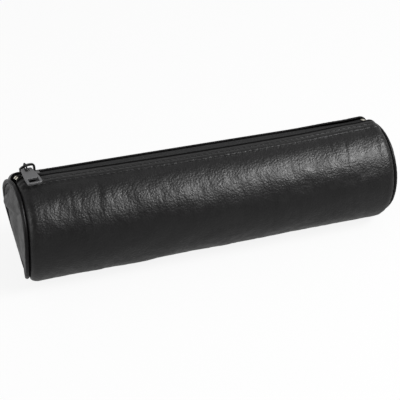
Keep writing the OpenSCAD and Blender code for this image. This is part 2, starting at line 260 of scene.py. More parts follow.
def put_mesh(name, points, quads, uv=None):
    """A smooth mesh object from points in millimetres. Quads that end on a pole become
    triangles, and all faces are turned round where the closed volume comes out negative."""
    p = points[quads]
    volume = (p[:, 0] * (np.cross(p[:, 1], p[:, 2]) + np.cross(p[:, 2], p[:, 3]))).sum()
    keep = np.ones(quads.shape, bool)
    keep[quads[:, 0] == quads[:, 3], 3] = False
    if volume < 0:
        quads, keep = quads[:, ::-1], keep[:, ::-1]
    corners = quads[keep].astype(np.int32)
    starts = np.concatenate([[0], np.cumsum(keep.sum(axis=1))[:-1]]).astype(np.int32)
    mesh = bpy.data.meshes.new(name)
    mesh.vertices.add(len(points))
    mesh.vertices.foreach_set("co", (points * MM).astype(np.float32).ravel())
    mesh.loops.add(len(corners))
    mesh.loops.foreach_set("vertex_index", corners)
    mesh.polygons.add(len(quads))
    mesh.polygons.foreach_set("loop_start", starts)
    if uv is not None:
        mesh.uv_layers.new(name="UVMap").data.foreach_set(
            "uv", uv[corners].astype(np.float32).ravel())
    mesh.update(calc_edges=True)
    mesh.shade_smooth()
    return new_object(name, mesh)


def shell(name, middle, half, ring=False, pole=False, uv=None):
    """A closed sheet: the points of the middle grid moved half the thickness to either side
    along the grid's normals. Both sides share the points of the free edges, where the half
    thickness is nought. A ring joins its last column to its first, and a pole is a first row
    that is one point."""
    rows, columns = middle.shape[:2]
    normal = grid_normals(middle, ring)
    if pole:
        normal[0] = normal[1].mean(axis=0) / np.linalg.norm(normal[1].mean(axis=0))
    offset = normal * np.broadcast_to(half, (rows, columns))[..., None]
    index = np.arange(rows * columns).reshape(rows, columns)
    back = index + rows * columns
    if not pole:
        back[0] = index[0]
    back[-1] = index[-1]
    if not ring:
        back[:, 0], back[:, -1] = index[:, 0], index[:, -1]
    if pole:
        index[0], back[0] = index[0, 0], back[0, 0]
    points = np.concatenate([middle + offset, middle - offset]).reshape(-1, 3)
    quads = np.concatenate([grid_quads(index, ring), grid_quads(back, ring)[:, [0, 3, 2, 1]]])
    if pole:
        turned = quads[:, 0] == quads[:, 1]
        quads[turned] = quads[turned][:, [1, 2, 3, 0]]
    used, compact = np.unique(quads, return_inverse=True)
    uv = None if uv is None else np.concatenate([uv.reshape(-1, 2)] * 2)[used]
    return put_mesh(name, points[used], compact.reshape(quads.shape), uv)


def tube(name, grid):
    """A closed tube from a grid that joins up along both parameters."""
    rows, columns = grid.shape[:2]
    index = np.arange(rows * columns).reshape(rows, columns)
    index = np.concatenate([index, index[:1]])
    return put_mesh(name, grid.reshape(-1, 3), grid_quads(index, True))


def finish(obj, material, slot, *nodes, body="case"):
    """The last steps of a piece: its material, its body, and the nodes it stands for."""
    obj.data.materials.clear()
    obj.data.materials.append(material)
    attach(obj, body)
    if nodes:
        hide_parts(*nodes)


# ---- the case's own forms ----

def smooth_step(x, start, end):
    t = np.clip((x - start) / (end - start), 0, 1)
    return t * t * (3 - 2 * t)


def soft_field(u, v, seed, short, long, count=12):
    """Sum of plane waves with seeded lengths and directions, about -1 to 1."""
    rng = np.random.default_rng(seed)
    total = 0
    for _ in range(count):
        wave_number = 2 * math.pi / rng.uniform(short, long)
        turn, shift = rng.uniform(0, 2 * math.pi, 2)
        total = total + np.sin(wave_number * (u * math.cos(turn) + v * math.sin(turn)) + shift)
    return total / math.sqrt(count)


def seam_point(s, side, down):
    """A point of an end seam as (distance from the axis, distance from the middle): the
    seam's allowance runs into the case at 45 degrees, side is measured across its plies
    towards the tube, down along them from the welt (negative inwards)."""
    r = s.bead_r + (side + down) / math.sqrt(2)
    x = s.bead_x + (down - side) / math.sqrt(2)
    return r, x


def reached(path):
    """Distance of each point of a path from its start."""
    return np.concatenate([[0], np.cumsum(np.linalg.norm(np.diff(path, axis=0), axis=1))])


def path_length(path):
    return np.linalg.norm(np.diff(path, axis=0), axis=1).sum()


def at_stations(path, stations):
    """The path's two coordinates at the given distances along it, each as a column."""
    reach = reached(path)
    return [np.interp(stations, reach, path[:, k])[:, None] for k in (0, 1)]


def softened(path, soften):
    """The path resampled at even steps, its corners rounded by a moving average."""
    step = 0.1
    total = reached(path)[-1]
    even = np.linspace(0, total, max(8, int(total / step)))
    dense = np.concatenate(at_stations(path, even), axis=1)
    pad = int(soften / step / 2)
    width = 2 * pad + 1
    padded = np.concatenate(
        [2 * dense[0] - dense[pad:0:-1], dense, 2 * dense[-1] - dense[-2:-pad - 2:-1]])
    box = np.ones(width) / width
    return np.stack([np.convolve(padded[:, k], box, "valid") for k in (0, 1)], axis=1)


def tube_path(s, depth, soften, *seam):
    """Section of a layer at a depth below the tube's surface, as (distance from the axis,
    distance from the middle): along the side, round each shoulder by a quarter of an
    ellipse, and on to the given points of the seam. The left half mirrors the right one."""
    a = np.radians(np.linspace(0, 90, 25))
    shoulder = np.stack([s.shoulder_r + (s.shoulder_drop - depth) * np.cos(a),
                         s.shoulder_x + (s.shoulder - depth) * np.sin(a)], axis=1)
    half = softened(np.concatenate(
        [[[s.radius - depth, 0.0]], shoulder, np.reshape(seam, (-1, 2))]), soften)
    return np.concatenate([half[:0:-1] * [1, -1], half])


def along_tube(path, fine, step, coarse, roll):
    """Stations along a path, at a closer step near both ends, and its points there."""
    total = path_length(path)
    stations = with_rolls(spaced((fine, step), (total - fine, coarse), (total, step)), roll)
    return total, stations, *at_stations(path, stations)


def settled(s, points):
    """The left end is warped like a saddle: it stands out at its upper rear and lower front
    and is drawn in at its upper front and lower rear. Its top also leans out, its bottom in,
    and its bottom sinks to the floor. The right end stands out and up a little. The shifts
    grow with the distance from the axis, and fade out along the case."""
    moved = points.copy()
    x = points[..., 0]
    height = (points[..., 2] - s.axis) / s.radius
    width = points[..., 1] / s.radius
    left, right = smooth_step(-x, 84, 105), smooth_step(x, 93, 106)
    lean = np.where(height > 0, s.lean_top, s.lean_bottom) * height
    lean += s.saddle * height * width + np.where(width > 0, s.lean_rear, -s.lean_front) * width
    moved[..., 0] += s.push_right * right - lean * left
    moved[..., 2] += s.lift_top * np.maximum(height, 0) * (smooth_step(-x, 90, 106) + right)
    moved[..., 2] -= s.sink * smooth_step(-height, 0.1, 0.6) * smooth_step(-x, 104, 108)
    return moved


def placed(s, r, angle, x, sag_depth=None):
    """Settled points at distance r from the axis, at an angle from the top to the front. With
    a sag depth, what would lie below the floor is laid flat, with a rounded start."""
    y, z = -r * np.sin(angle), r * np.cos(angle)
    if sag_depth is not None:
        floor, blend = sag_depth - s.axis, 1.2
        mix = np.clip(0.5 + 0.5 * (z - floor) / blend, 0, 1)
        z = z * mix + floor * (1 - mix) + blend * mix * (1 - mix) * 0.5
    return settled(s, np.stack(np.broadcast_arrays(x, y, z + s.axis), axis=-1))


def crease(x, arc, start, end, depth, width):
    """A soft groove along a line from start to end: a bell across it that fades at its ends."""
    along = np.subtract(end, start)
    size = np.linalg.norm(along)
    dx, dy = x - start[0], arc - start[1]
    t = (dx * along[0] + dy * along[1]) / size ** 2
    off = (dx * along[1] - dy * along[0]) / size
    off += 0.5 * width * np.sin(3.1 * t + start[0])
    fade = np.exp(-((t - 0.5) / 0.36) ** 4)
    return -depth * fade * (np.exp(-(off / width) ** 2)
                            - 0.55 * np.exp(-((off - 1.9 * width) / (1.3 * width)) ** 2))


def leather_rise(s, x, arc):
    """How far the leather stands above its plain form, at x along the case and arc round it
    from the middle of the zip over the front: long soft waves, gathers that fade out from
    the two end seams, single creases, and the dents of the stitches."""
    edge = np.minimum(arc, s.girth - arc)
    end = s.shoulder_x + 4 - np.abs(x)
    free = smooth_step(edge, s.far_row + 1.5, s.far_row + 16) * smooth_step(end, 0, 16)
    low = smooth_step(np.abs(arc - s.radius * (math.pi + s.zip_turn)), 8, 22)
    waves = (0.55 * soft_field(x, 1.3 * arc, s.seed, 34, 90)
             + 0.3 * soft_field(x, arc, s.seed + 1, 11, 26, 16))
    rise = s.sway * waves * free * (0.25 + 0.75 * low)
    rise += 0.06 * soft_field(x, arc, s.seed + 2, 3.5, 8, 20) * free
    angle = arc / s.radius
    wander = 2.2 * soft_field(x * 0.4, arc, s.seed + 3, 20, 50, 8)
    pulse = 0.65 + 0.35 * np.sin(5 * angle + 1.7 * np.sin(2 * angle + 1))
    gather = (np.sin(GATHER_COUNT * angle + wander)
              + 0.45 * np.sin(1.7 * GATHER_COUNT * angle - 1.6 * wander))
    near_seam = np.exp(-(np.maximum(end, 0) / 5.5) ** 1.3) * smooth_step(edge, 6, 12)
    rise += s.gathers * gather * pulse * near_seam
    for start, stop, depth, width in CREASES:
        rise += crease(x, arc, start, stop, s.creases * depth, width)
    for row in (s.near_row, s.far_row):
        across = np.exp(-((edge - row) / 0.55) ** 2)
        hole = 0.5 + 0.5 * np.cos(2 * math.pi * x / s.stitch_pitch)
        rise -= across * (0.14 + 0.26 * hole ** 3) * smooth_step(end, -2, 2)
    rise += 0.14 * np.exp(-((edge - 0.5 * (s.near_row + s.far_row)) / 0.9) ** 2)
    lifted = smooth_step(x, 55, 90) * (1 - smooth_step(edge, 14, 40)) * smooth_step(end, -2, 4)
    pressed = np.exp(-((x + 101) / 9) ** 4 - ((arc - 17) / 8) ** 4)
    lip = 0.22 * np.exp(-((edge - 7.1) / 1.1) ** 2)
    return rise + s.lift_zip * lifted + hem(s, arc) / 2 + lip - s.press * pressed


def hem(s, arc):
    """Extra thickness of the two plies beside the zip, which ends past the far row. The
    rear one is pressed flatter."""
    edge = np.minimum(arc, s.girth - arc)
    thick = np.where(arc < s.girth / 2, s.hem, 0.2 * s.hem)
    return thick * (1 - smooth_step(edge, s.far_row - 0.4, s.far_row + 1.6))


def leather_surface(s, r, x, arc):
    """Middle of the leather at its waved height. arc is scaled so that it starts and ends
    at the straight slot, whatever the distance from the axis."""
    slot_angle = np.arcsin(s.slot / 2 / r)
    share = (arc - s.slot_arc) / (s.girth - 2 * s.slot_arc)
    angle = slot_angle + share * (2 * math.pi - 2 * slot_angle)
    side = np.where(arc < s.girth / 2, 1, -1)
    near = 1 - smooth_step(np.minimum(arc, s.girth - arc), 16, 34)
    angle -= side * near * s.closing / s.radius * np.minimum(np.abs(x) / 88, 1) ** 2
    lift = leather_rise(s, x, arc)
    return placed(s, r + lift, angle - s.zip_turn, x, s.leather / 2)


# ---- materials ----

class Nodes:
    """A node tree that is being built. Inputs are given as numbers or as sockets."""

    def __init__(self, owner):
        owner.use_nodes = True
        self.owner, self.tree = owner, owner.node_tree
        self.tree.nodes.clear()

    def fill(self, node, inputs):
        for key, value in inputs.items():
            if isinstance(value, bpy.types.NodeSocket):
                self.tree.links.new(value, node.inputs[key])
            else:
                node.inputs[key].default_value = value

    def add(self, kind, inputs=None, **settings):
        """The outputs of a new node."""
        node = self.tree.nodes.new("ShaderNode" + kind)
        configure(node, **settings)
        self.fill(node, inputs or {})
        return node.outputs

    def calculate(self, operation, *values):
        return self.add("Math", dict(enumerate(values)), operation=operation)[0]

    def scaled(self, colour, factor):
        return self.add("VectorMath", {0: colour, 1: factor}, operation="MULTIPLY")[0]

    def shades(self, factor, colour, low, high):
        """Colour between two multiples of one colour, by a factor."""
        return self.add("Mix", {
            0: factor, 6: (*(c * low for c in colour), 1),
            7: (*(min(1, c * high) for c in colour), 1)}, data_type="RGBA")[2]

    def ranged(self, value, low, high, start=0.3, end=0.7):
        return self.add("MapRange", {0: value, 1: start, 2: end, 3: low, 4: high})[0]

    def weighted(self, *parts):
        """Sum of sockets, each times its weight."""
        total = None
        for socket, weight in parts:
            part = self.calculate("MULTIPLY", socket, weight)
            total = part if total is None else self.calculate("ADD", total, part)
        return total

    def noise(self, where, scale, detail=2.0, distortion=0.0):
        return self.add("TexNoise", {
            "Vector": where, "Scale": scale, "Detail": detail, "Distortion": distortion})[0]

    def wave(self, where, step, distortion, direction, detail=2.0):
        """Wavering bands, a step in metres apart."""
        return self.add("TexWave", {
            "Vector": where, "Scale": math.pi / 10 / step, "Distortion": distortion,
            "Detail": detail}, bands_direction=direction)["Fac"]

    def place(self, kind="Object"):
        return self.add("TexCoord")[kind]

    def parts(self, vector):
        return self.add("SeparateXYZ", {0: vector})


def new_material(name):
    """The nodes of a new material, with a shader."""
    n = Nodes(bpy.data.materials.new(name))
    n.shader = n.tree.nodes.new("ShaderNodeBsdfPrincipled")
    n.add("OutputMaterial", {0: n.shader.outputs[0]})
    return n


def surfaced(n, colour, roughness, height, depth, more=()):
    """The material with its shader's inputs filled, and a bump of the height times a depth
    in metres."""
    bump = n.add("Bump", {"Height": height, "Distance": depth, "Strength": 1.0})[0]
    n.fill(n.shader, {
        "Base Color": colour, "Roughness": roughness, "Normal": bump, **dict(more)})
    return n.owner


def leather_finish(name, colour, roughness=0.4, grain=0.00011, shine=0.5, edges=None):
    """Dyed nappa: rounded pebbles about a millimetre across with fine pores in between,
    fine slanting lines where it has been bent, and a slightly uneven sheen, as of wear.
    Between the two edges given on its map it has that sheen. Close to the edges it has
    little sheen, and its colour is darkened as painted shade. At the rear edge's cut face
    its colour is brightened as painted light."""
    n = new_material(name)
    place = n.place()
    broad = n.noise(place, 45, 3)
    patch = n.noise(place, 260, 3, 0.6)
    pores = n.noise(place, 1700)
    pebble = n.add("TexVoronoi", {
        "Vector": place, "Scale": 900, "Smoothness": 0.5, "Randomness": 1.0},
        feature="SMOOTH_F1")["Distance"]
    slanted = n.add("Mapping", {
        "Vector": place, "Rotation": (0, math.radians(24), 0), "Scale": (1, 0.4, 0.4)})[0]
    bent = n.noise(slanted, 420, 2, 0.4)
    off = n.calculate("ABSOLUTE", n.calculate("SUBTRACT", bent, 0.5))
    lines = n.calculate("MULTIPLY", n.ranged(off, 0, 1, 0.0, 0.05),
                        n.ranged(broad, 0, 0.12, 0.42, 0.62))
    shade, sheen = n.shades(broad, colour, 0.75, 1.35), shine
    if edges:
        height = n.parts(n.place("UV"))[1]
        below = n.calculate("SUBTRACT", height, edges[0])
        above = n.calculate("SUBTRACT", edges[1] + 0.0014, height)
        # Painted shade: the colour is darkened to 0.3 of itself, and the sheen is lowered, within
        # about two millimetres of the front edge and under a millimetre of the rear one.
        clear_of_painted_edge_shade = n.ranged(n.calculate("MINIMUM", below, above), 0, 1, 0.0017, 0.0022)
        sheen = n.ranged(clear_of_painted_edge_shade, 0.03, shine, 0, 1)
        # Painted light: over the last 0.4 millimetre, the rear edge's cut face is brightened up to
        # seven times its colour.
        painted_light_on_rear_cut = n.ranged(above, 7, 1, 0.0014, 0.0018)
        shade = n.scaled(shade, n.calculate("MULTIPLY", n.ranged(clear_of_painted_edge_shade, 0.3, 1, 0, 1), painted_light_on_rear_cut))
    height = n.weighted((pebble, -1.2), (pores, 0.5), (lines, 0.5), (patch, 0.2))
    return surfaced(n, shade, n.ranged(patch, roughness - 0.05, roughness + 0.08), height,
                    grain, {"Specular IOR Level": sheen})


def cloth_finish(name, colour):
    """Plain weave on the sheet's own map: two sets of ribs, one across the other."""
    n = new_material(name)
    place = n.place("UV")
    ribs = [n.wave(place, 0.0005, 0.3, direction, 1.0) for direction in "XY"]
    fuzz = n.noise(place, 900, 3)
    weave = n.weighted((ribs[0], 0.5), (ribs[1], 0.5), (fuzz, 0.3))
    return surfaced(
        n, n.shades(weave, colour, 0.6, 1.7), n.ranged(fuzz, 0.78, 0.9), weave, 0.00006,
        {"Specular IOR Level": 0.3, "Sheen Weight": 0.25, "Sheen Roughness": 0.4})


def tape_finish(name, colour):
    """Zip tape: fine ribs across, and the two lines of sewing that hold the coil, at 1 and
    1.7 millimetres from the turned edge."""
    n = new_material(name)
    place = n.place("UV")
    across = n.parts(place)[1]
    ribs, warp = n.wave(place, 0.0006, 0.4, "X"), n.wave(place, 0.0007, 0.4, "Y")
    fuzz = n.noise(place, 1100, 3)
    rows = []
    for line in (0.001, 0.0017):
        off = n.calculate("ABSOLUTE", n.calculate("SUBTRACT", across, line))
        rows.append(n.ranged(off, 1, 0, 0.0001, 0.0003))
    sewn = n.calculate("MULTIPLY", n.calculate("MAXIMUM", *rows), ribs)
    weave = n.weighted((ribs, 0.45), (warp, 0.35), (fuzz, 0.3), (sewn, 0.8))
    return surfaced(n, n.shades(weave, colour, 0.55, 1.9), n.ranged(fuzz, 0.72, 0.85),
                    weave, 0.00009, {"Specular IOR Level": 0.12})


def thread_finish(name, colour):
    """Twisted thread: slanted strands, by a distorted wave, paler towards the right end as a
    painted glint.
    """
    n = new_material(name)
    place = n.place()
    strands = n.wave(place, 0.0006, 1.5, "DIAGONAL")
    # Painted glint: the thread's colour is 0.3 of itself up to 50 millimetres right of the middle,
    # and full from 68 millimetres on.
    wear_and_painted_glint = n.ranged(n.parts(place)[0], 0.3, 1, 0.05, 0.068)
    return surfaced(n, n.scaled(n.shades(strands, colour, 0.6, 1.6), wear_and_painted_glint),
                    n.ranged(strands, 0.5, 0.42), strands, 0.00005)


def metal_finish(name, colour, roughness, metallic=1.0):
    """Cast metal under a thin finish: fine pits and a slightly uneven sheen."""
    n = new_material(name)
    place = n.place()
    wear_and_painted_glint = n.noise(place, 500, 4, 0.4)
    return surfaced(
        n, n.shades(wear_and_painted_glint, colour, 0.82, 1.2), n.ranged(wear_and_painted_glint, roughness - 0.05, roughness + 0.08),
        n.noise(place, 2600, 3), 0.000012, {"Metallic": metallic})


def nylon_finish(name, colour):
    """Drawn nylon: smooth, with faint lines."""
    n = new_material(name)
    lines = n.noise(n.place(), 1800)
    return surfaced(n, n.shades(lines, colour, 0.8, 1.3), n.ranged(lines, 0.3, 0.4),
                    lines, 0.00001)


def shared(name, make, colour, *values):
    """A material in one of the named colours, made once and used by several pieces."""
    colours = bpy.context.scene.zip_case_colours
    return bpy.data.materials.get(name) or make(name, tuple(getattr(colours, colour)), *values)


# ---- operators ----

class Maker:
    """What the operators share: each makes its pieces with the sizes in the sidebar."""

    def execute(self, context):
        self.make(sizes())
        return {"FINISHED"}


class ZIPCASE_OT_leather_wrap(Maker, bpy.types.Operator):
    """The leather wrap: one sheet from zip edge to zip edge, with rounded shoulders"""
    bl_idname = "zip_case.leather_wrap"
    bl_label = "Leather Wrap"

    def make(self, s):
        depth = s.leather / 2
        side = s.leather_side + depth
        path = tube_path(s, depth, 0.7, seam_point(s, side, -1.6), seam_point(s, side, -s.seam))
        total, stations, r, x = along_tube(path, 16, 0.5, 0.72, 0.5)
        start, wide = s.slot_arc, s.girth - 2 * s.slot_arc
        around = with_rolls(spaced(
            (11, 0.5), (16, 0.8), (wide - 16, 1.75), (wide - 11, 0.8), (wide, 0.5)), 0.75)
        arc = around + start
        middle = leather_surface(s, r, x, arc)
        half = rolled_round(s.leather + hem(s, arc), stations, around)
        wrap = shell("leather_wrap", middle, half, uv=own_map(stations, arc))
        leather = shared("wrap_leather", leather_finish, "leather", 0.4, 0.00011, 0.5,
                         (start * MM, (start + wide) * MM))
        finish(wrap, leather, "leather", "body_panel")


class ZIPCASE_OT_lining(Maker, bpy.types.Operator):
    """The lining cloth of the tube and of the two ends"""
    bl_idname = "zip_case.lining"
    bl_label = "Lining"

    def make(self, s):
        material = shared("lining_cloth", cloth_finish, "lining")
        depth = s.lining_depth + s.lining / 2
        total, stations, r, x = along_tube(tube_path(s, depth, 0.3), 14, 0.8, 3, 0.2)
        slot_angle = np.arcsin(LINING_SLOT / 2 / r)
        wide = 2 * math.pi * (s.radius - depth) - LINING_SLOT
        around = with_rolls(spaced((wide, 2.2)), 0.2)
        angle = slot_angle + around / wide * (2 * math.pi - 2 * slot_angle)
        middle = placed(s, r, angle - s.zip_turn, x, depth)
        cloth = shell("lining_wrap", middle, rolled_round(s.lining, stations, around),
                      uv=own_map(stations, around))
        finish(cloth, material, "lining", "body_lining")
        lining_x = s.case_length / 2 - DISC_INSET - s.leather - s.layer_gap - s.lining
        side = s.leather_side + s.leather + s.layer_gap + BINDING
        radius = s.bead_r - math.sqrt(2) * (side + s.layer_gap) - (s.bead_x - lining_x)
        reach = with_rolls(spaced((radius, 1.4)), 0.2)
        reach = np.concatenate([[0], reach[reach > 0.5]])[:, None]
        x = lining_x + s.lining / 2
        for sign, name in ENDS:
            grid = placed(s, reach, full_turn(72), sign * x)
            disc = shell(name + "_lining_disc", grid, rolled(s.lining, radius - reach),
                         ring=True, pole=True, uv=grid[..., 1:] * MM)
            finish(disc, material, "lining", name + "_end_lining")


def end_rise(s, sign, r, angle):
    """Outward rise of an end: a shallow dish, puckers that fade in from the rim, soft
    waves, and on the left a fold: a ridge bent along a line from the rear, steep above
    and drawn out into a low cushion below."""
    y, z = -r * np.sin(angle), r * np.cos(angle)
    inward = 1 - np.minimum(r / 24, 1) ** 2
    pucker = np.sin(31 * angle + 2.5 * np.sin(3 * angle)) * np.exp(-((24.2 - r) / 3.2) ** 2)
    rise = 0.14 * pucker + 0.2 * soft_field(y, z, s.seed + 11 + sign, 14, 40, 10)
    if sign > 0:
        return rise - 0.45 * inward
    across = z - np.interp(y, (-14, -7, 2, 12, 20, 27), (18, 13.6, 7.8, 4, 2.2, 6))
    lobe = np.exp(-((across - 4.2) / 3.8) ** 2) * (0.25 + 0.75 * smooth_step(y, -6, 14))
    valley = np.exp(-(across / 1.6) ** 2)
    cushion = np.exp(-(((y - 8) / 13) ** 2 + ((z + 10) / 12) ** 2))
    rim = np.exp(-((24.5 - r) / 2.8) ** 2) * smooth_step(z + 0.6 * y, -14, 8)
    return (rise + s.fold * (1.5 * lobe - 0.7 * valley) + 1.6 * cushion - 1.7 * rim
            - 2.2 * inward * smooth_step(across, 6, 12))


class ZIPCASE_OT_end_leathers(Maker, bpy.types.Operator):
    """The round leather ends: soft discs, turned into their seams, the left one folded"""
    bl_idname = "zip_case.end_leathers"
    bl_label = "End Leathers"

    def make(self, s):
        material = shared("soft_leather", leather_finish, "leather")
        depth = s.leather / 2
        face_x = s.case_length / 2 - DISC_INSET - depth
        side = -s.leather_side - depth
        rim = s.bead_r - s.bead - s.layer_gap
        path = softened(np.array([
            (0.0, face_x), (rim - 1.2, face_x + 0.05), (rim - 0.45, face_x - 0.02),
            (rim - 0.28, face_x - 0.25), seam_point(s, side, -1.75),
            seam_point(s, side, -s.seam)]), 0.5)
        total = path_length(path)
        stations = np.concatenate([
            np.linspace(0, 20, 34), np.linspace(20, total - 0.6, 38)[1:],
            total - 0.5 * np.array([0.65, 0.3, 0.08, 0])])
        r, x = at_stations(path, stations)
        angle = full_turn(300)
        inside = 1 - smooth_step(stations[:, None], 22.6, 24.6)
        half = rolled(s.leather, (total - stations)[:, None])
        for sign, name in ENDS:
            rise = end_rise(s, sign, r, angle) * inside
            grid = placed(s, r, angle, sign * (x + rise))
            end = shell(name + "_end_leather", grid, half, ring=True, pole=True)
            finish(end, material, "leather", name + "_end_disc")


def seam_binding(s, sign, name):
    """A tape folded in a U round the edges of the seam's plies, as its section."""
    side = s.leather_side + s.leather + s.layer_gap + BINDING / 2
    end = s.seam + s.layer_gap + BINDING / 2
    lap = side + BINDING / 2 + math.sqrt(2) * (DISC_INSET + s.leather - s.bead + s.layer_gap)
    corner = [(side - 0.3, -end), (side, -end + 0.3)]
    points = [(side, -lap), *corner[::-1], *[(-a, b) for a, b in corner], (-side, -lap)]
    section = softened(np.array(points), 0.3)
    total = path_length(section)
    stations = with_rolls(spaced((total, 0.45)), BINDING / 2)
    r, x = seam_point(s, *at_stations(section, stations))
    angle = full_turn(120)
    grid = placed(s, r, angle, sign * x)
    half = rolled(BINDING, stations[:, None], (total - stations)[:, None])
    tape = shell(name + "_binding", grid, half, ring=True,
                 uv=own_map(stations, angle * 23)[..., ::-1])
    finish(tape, shared("binding_tape", cloth_finish, "tape"), "zip_cloth",
           name + "_seam_binding")


class ZIPCASE_OT_pipings(Maker, bpy.types.Operator):
    """The welts round both ends: leather wrapped round a cord, and the bound seam inside"""
    bl_idname = "zip_case.pipings"
    bl_label = "Pipings"

    def make(self, s):
        leather = shared("piping_leather", leather_finish, "welt", 0.38, 0.00007, 0.25)
        cord_mat = shared("piping_cord", thread_finish, "cord")
        cord_r = s.welt_cord / 2
        wrap_r = (cord_r + s.layer_gap + s.bead) / 2
        thick = s.bead - cord_r - s.layer_gap
        ply = WELT_PLIES / 4
        open_angle = math.asin(ply / wrap_r)
        around = np.linspace(-math.pi / 2 + open_angle, 1.5 * math.pi - open_angle, 34)
        down = np.array([-s.seam, -s.seam + 0.06, -s.seam + 0.2, -3.6, -2.6, -1.8, -1.2])
        section = np.concatenate([
            np.stack([np.full(len(down), ply), down], axis=1),
            np.stack([wrap_r * np.cos(around), wrap_r * np.sin(around)], axis=1),
            np.stack([np.full(len(down), -ply), down[::-1]], axis=1)])
        path = np.stack(seam_point(s, section[:, 0], section[:, 1]), axis=1)
        bead = np.zeros((len(path), 1))
        bead[len(down) - 1:-len(down) + 1] = 1
        half = np.where(bead > 0, thick / 2, 0.19)
        half[[0, -1]], half[[1, -2]], half[[2, -3]] = 0, 0.12, 0.18
        angle = full_turn(330)
        rim = 26 * np.cos(angle), 26 * np.sin(angle)
        turn = full_turn(10).T
        cord_out = 0.93 * cord_r * (1 + 0.06 * np.cos(3 * turn - 55 * angle))
        for sign, name in ENDS:
            wander = soft_field(*rim, s.seed + 20 + sign, 5, 14, 14)
            fine = soft_field(*rim, s.seed + 30 + sign, 1.6, 4, 14)
            swell = 1 + (0.035 * wander + 0.03 * fine) * bead
            r = s.bead_r + (path[:, :1] - s.bead_r) * swell
            x = s.bead_x + (path[:, 1:] - s.bead_x) * swell
            grid = placed(s, r, angle, sign * x)
            piping = shell(name + "_piping", grid, half, ring=True)
            finish(piping, leather, "welt_leather", name + "_welt")
            cord = tube(name + "_piping_cord", placed(
                s, s.bead_r + cord_out * np.cos(turn), angle,
                sign * (s.bead_x + cord_out * np.sin(turn))))
            finish(cord, cord_mat, "cord", name + "_welt_cord")
            seam_binding(s, sign, name)


class ZIPCASE_OT_zip_tapes(Maker, bpy.types.Operator):
    """The two woven tapes of the zip, their inner edges turned down over the coils"""
    bl_idname = "zip_case.zip_tapes"
    bl_label = "Zip Tapes"

    def make(self, s):
        material = shared("woven_tape", tape_finish, "tape")
        depth = s.tape_depth + s.tape_thick / 2
        total, stations, r, x = along_tube(tube_path(s, depth, 0.2), 10, 0.5, 1.1, 0.25)
        across = with_rolls(spaced((4, 0.25), (s.tape, 0.8)), 0.25)
        gap = s.tape_split / 2 + 0.8 * (1 - smooth_step(x, s.slider_nose + 2.6, s.slider_nose + 7))
        inner = 0.32 * np.exp(-(across / 0.55) ** 2)
        stretch = (s.tape - gap) / s.tape
        for sign, name in SIDES:
            ripple = 0.03 * soft_field(x, across * 3, s.seed + 40 + sign, 6, 16, 8)
            angle = -sign * (gap + across * stretch) / (s.radius - depth)
            middle = placed(s, r - inner + ripple, angle - s.zip_turn, x)
            half = rolled_round(s.tape_thick, stations, across)
            tape = shell(name + "_tape", middle, half, uv=own_map(stations, across))
            finish(tape, material, "zip_cloth", name + "_zip_tape")


def stitch_row(s, middles, edge, sign):
    """Stitches as short arched threads: along each, its middle line rises out of one
    hole and sinks into the next, and its round section tapers at the ends."""
    t = np.linspace(-1, 1, 9)
    turn = full_turn(6)[0, :, None]
    x = middles[:, None] + 0.5 * (s.stitch_pitch - 0.55) * t
    slant = 0.12 * t
    arc = edge + slant if sign < 0 else s.girth - edge + slant
    arc = np.broadcast_to(arc, x.shape)
    surface = leather_surface(s, np.full(x.shape, s.radius - s.leather / 2), x, arc)
    out = surface - [0, 0, s.axis]
    out[..., 0] = 0
    out /= np.linalg.norm(out, axis=-1, keepdims=True)
    radius = s.thread / 2 * np.sqrt(np.clip(1.04 - t ** 6, 0, 1))
    lift = (s.leather + hem(s, arc)[0, 0]) / 2 + s.thread * (0.2 - 0.5 * t ** 4)
    middle = surface + out * lift[:, None]
    side = np.cross(out, [1.0, 0, 0])
    ring = np.cos(turn) * side[:, :, None] + np.sin(turn) * out[:, :, None]
    return middle[:, :, None] + ring * radius[:, None, None]


def stitch_mesh(name, grid):
    """One mesh of all stitches: tube faces, and a pole at each end of each stitch."""
    count, rows, sides = grid.shape[:3]
    caps = grid[:, [0, -1]].mean(axis=2)
    per = rows * sides + 2
    points = np.concatenate([grid.reshape(count, -1, 3), caps], axis=1).reshape(-1, 3)
    index = np.arange(rows * sides).reshape(rows, sides)
    start = np.full((1, sides), rows * sides)
    body = grid_quads(np.concatenate([start, index]), True)
    tail = grid_quads(np.concatenate([start + 1, index[-1:]]), True)[:, [0, 2, 1, 3]]
    one = np.concatenate([body, tail])
    quads = (one + (np.arange(count) * per)[:, None, None]).reshape(-1, 4)
    return put_mesh(name, points, quads)


class ZIPCASE_OT_stitching(Maker, bpy.types.Operator):
    """Two rows of sewing thread along each side of the zip"""
    bl_idname = "zip_case.stitching"
    bl_label = "Stitching"

    def make(self, s):
        material = shared("sewing_thread", thread_finish, "thread")
        first = -math.floor((s.shoulder_x - 1) / s.stitch_pitch)
        middles = (np.arange(first, -first) + 0.5) * s.stitch_pitch
        for sign, name in SIDES:
            rows = [stitch_row(s, middles, row, sign) for row in (s.near_row, s.far_row)]
            finish(stitch_mesh(name + "_stitching", np.concatenate(rows)), material, "zip_cloth")


def metal_copy(name, node, bevel):
    """A merged copy of a node's solid, its flat faces joined and its edges rounded."""
    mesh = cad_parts[node].data.copy()
    mesh.name = name
    work = bmesh.new()
    work.from_mesh(mesh)
    bmesh.ops.remove_doubles(work, verts=work.verts, dist=2e-6)
    bmesh.ops.dissolve_limit(work, angle_limit=math.radians(0.6),
                             verts=work.verts, edges=work.edges)
    work.to_mesh(mesh)
    work.free()
    mesh.shade_smooth()
    mesh.set_sharp_from_angle(angle=math.radians(38))
    obj = new_object(name, mesh)
    configure(obj.modifiers.new("edges", "BEVEL"), width=bevel * MM, segments=3,
              limit_method="ANGLE", angle_limit=math.radians(32), harden_normals=True,
              use_clamp_overlap=True)
    return obj


